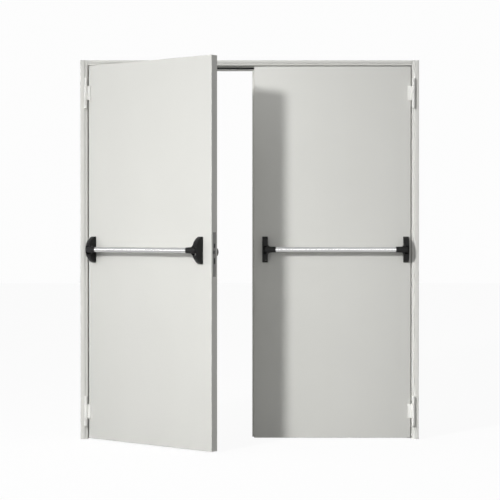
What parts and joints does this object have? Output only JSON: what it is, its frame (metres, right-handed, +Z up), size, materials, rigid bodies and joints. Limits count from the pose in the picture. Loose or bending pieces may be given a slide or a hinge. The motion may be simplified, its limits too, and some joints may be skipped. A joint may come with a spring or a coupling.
{
  "type": "double fire exit door",
  "caption": "Double-leaf sheet-steel fire exit door in a folded steel frame, with a push bar on each leaf, barrel hinges, a mortise lock and a spring-style latch worked by the bar.",
  "frame": {"origin": "on the underside of the left foot plate, at floor level, 22 mm in from the frame's outer edge and 50 mm behind its front face", "axes": "+X along the wall to the right, +Y through the wall away from the push bars, +Z up; the leaves open towards -Y"},
  "size_m": [1.9, 0.7369, 2.127],
  "materials": {
    "frame_paint": "fine-textured satin powder coat, pale warm grey",
    "leaf_paint": "fine-textured satin powder coat, pale warm grey",
    "hinge_paint": "satin painted steel",
    "seal_rubber": "matt black seal strip",
    "black_plastic": "satin black moulded nylon",
    "bar_aluminium": "satin anodised, drawn lengthwise",
    "lock_steel": "brushed along its length",
    "lock_case_steel": "dark blackened steel",
    "outside_steel": "satin",
    "core_wool": "matt pressed mineral wool, hidden in the leaf",
    "foot_zinc": "dull zinc plating"
  },
  "bodies": {
    "frame": {"left_jamb": "frame_paint", "right_jamb": "frame_paint", "head": "frame_paint", "left_foot_plate": "foot_zinc", "right_foot_plate": "foot_zinc", "left_seal": "seal_rubber", "right_seal": "seal_rubber", "head_seal": "seal_rubber", "left_top_hinge_frame_half": "hinge_paint", "left_bottom_hinge_frame_half": "hinge_paint", "right_top_hinge_frame_half": "hinge_paint", "right_bottom_hinge_frame_half": "hinge_paint"},
    "left_leaf": {"left_leaf_front_pan": "leaf_paint", "left_leaf_back_sheet": "leaf_paint", "left_leaf_core": "core_wool", "left_top_hinge_leaf_half": "hinge_paint", "left_bottom_hinge_leaf_half": "hinge_paint", "left_hinge_side_housing": "black_plastic", "left_free_side_housing": "black_plastic", "lock_faceplate": "lock_steel", "lock_case": "lock_case_steel", "deadbolt": "lock_steel", "outside_plate": "outside_steel", "outside_knob": "outside_steel", "lock_cylinder": "lock_steel"},
    "left_push_bar": {"left_bar_tube": "bar_aluminium", "left_hinge_side_lever": "black_plastic", "left_free_side_lever": "black_plastic"},
    "left_latch": {"latch_bolt": "lock_steel"},
    "right_leaf": {"right_leaf_front_pan": "leaf_paint", "right_leaf_back_sheet": "leaf_paint", "right_leaf_core": "core_wool", "right_top_hinge_leaf_half": "hinge_paint", "right_bottom_hinge_leaf_half": "hinge_paint", "right_hinge_side_housing": "black_plastic", "right_free_side_housing": "black_plastic", "overlap_strip": "leaf_paint", "strike_plate": "lock_steel"},
    "right_push_bar": {"right_bar_tube": "bar_aluminium", "right_hinge_side_lever": "black_plastic", "right_free_side_lever": "black_plastic"}
  },
  "joints": [
    {"name": "left_leaf_hinge", "type": "hinge", "parent": "frame", "child": "left_leaf", "pos_m": [0.009, -0.059, 1], "axis": [0, 0, -1], "range_deg": [-40.4, 59.6]},
    {"name": "right_leaf_hinge", "type": "hinge", "parent": "frame", "child": "right_leaf", "pos_m": [1.847, -0.059, 1], "axis": [0, 0, 1], "range_deg": [0, 100]},
    {"name": "left_bar_push", "type": "hinge", "parent": "left_leaf", "child": "left_push_bar", "pos_m": [0.00511, -0.06357, 1.108], "axis": [0.7615, -0.6481, 0], "range_deg": [0, 13], "stiffness_Nm_per_rad": 6, "springref_deg": -22.92},
    {"name": "right_bar_push", "type": "hinge", "parent": "right_leaf", "child": "right_push_bar", "pos_m": [1.847, -0.065, 1.108], "axis": [1, 0, 0], "range_deg": [0, 13], "stiffness_Nm_per_rad": 6, "springref_deg": -22.92},
    {"name": "left_latch_slide", "type": "slide", "parent": "left_leaf", "child": "left_latch", "axis": [-0.7615, 0.6481, 0], "range_m": [0, 0.011]}
  ],
  "couplings": [
    {"joint": "left_latch_slide", "follows": "left_bar_push", "m_per_rad": 0.0484}
  ]
}
